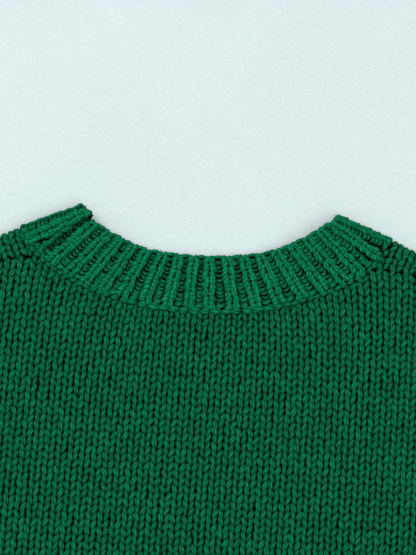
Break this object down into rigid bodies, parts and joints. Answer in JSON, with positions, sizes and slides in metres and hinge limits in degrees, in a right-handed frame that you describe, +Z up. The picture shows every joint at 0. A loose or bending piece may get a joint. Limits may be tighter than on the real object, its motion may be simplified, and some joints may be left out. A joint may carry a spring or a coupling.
{
  "type": "knitted pullover laid flat",
  "caption": "Thick green knitted pullover lying flat on its front, with ribbed neckband, hem and cuffs and drop-shoulder sleeves.",
  "frame": {"origin": "on the flat underside, on the centre line, halfway between hem and shoulder; it is the rest_face mount", "axes": "+X across the garment to the viewer's right, +Y from hem to neck, +Z up from the surface it lies on"},
  "size_m": [1.2464, 0.6185, 0.0154],
  "materials": {
    "body_knit": "matt emerald green yarn in plain knit, one stitch about 8 mm wide",
    "rib_knit": "matt emerald green yarn in one-by-one rib"
  },
  "bodies": {
    "root": {"back_panel": "body_knit", "front_panel": "body_knit", "sleeve_right": "body_knit", "sleeve_left": "body_knit", "neckband": "rib_knit", "hem_rib_back": "rib_knit", "hem_rib_front": "rib_knit", "cuff_right": "rib_knit", "cuff_left": "rib_knit"}
  },
  "joints": []
}
